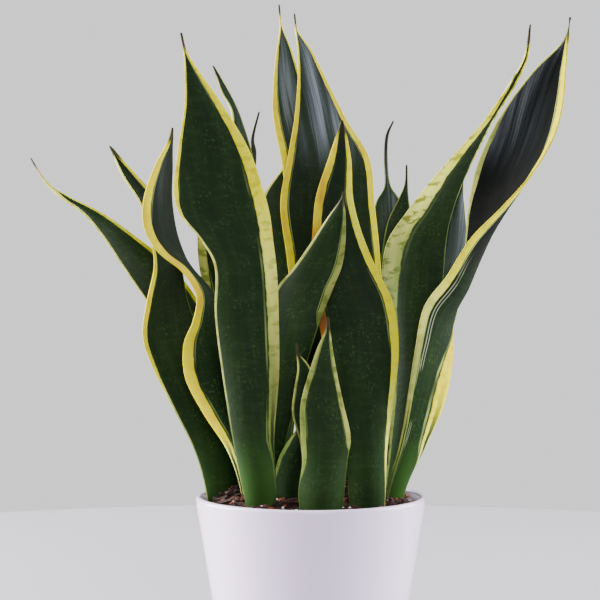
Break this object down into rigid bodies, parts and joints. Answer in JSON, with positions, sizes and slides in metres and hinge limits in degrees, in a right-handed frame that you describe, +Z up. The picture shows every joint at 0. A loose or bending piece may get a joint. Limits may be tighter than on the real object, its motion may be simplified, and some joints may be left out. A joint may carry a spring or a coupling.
{
  "type": "potted snake plant",
  "caption": "Snake plant with stiff upright dark green leaves edged in yellow, some waved, standing in bark compost in a plain round tapering white glazed pot.",
  "frame": {"origin": "centre of the pot's flat base, in the plane that it stands on", "axes": "+Z up; +X to the right of the pictured front view; +Y away from the viewer, so the front is -Y"},
  "size_m": [0.3303, 0.169, 0.4431],
  "materials": {
    "glaze": "glossy",
    "soil": "rough bark and coir crumbs with white perlite",
    "leaf": "semi-gloss waxy leaf, dark green with yellow margins"
  },
  "bodies": {
    "root": {"pot": "glaze", "soil": "soil", "leaf_tall_front_left": "leaf", "leaf_broad_front_right": "leaf", "leaf_leaning_middle": "leaf", "leaf_short_front": "leaf", "leaf_tiny_middle": "leaf", "leaf_young_middle": "leaf", "leaf_wavy_left": "leaf", "leaf_outer_left": "leaf", "leaf_far_left": "leaf", "leaf_hidden_left": "leaf", "leaf_back_left": "leaf", "leaf_slim_back": "leaf", "leaf_low_back": "leaf", "leaf_tall_back": "leaf", "leaf_broad_back": "leaf", "leaf_long_tip_right": "leaf", "leaf_small_tip_right": "leaf", "leaf_inner_right": "leaf", "leaf_channel_right": "leaf", "leaf_grey_right": "leaf"}
  },
  "joints": []
}
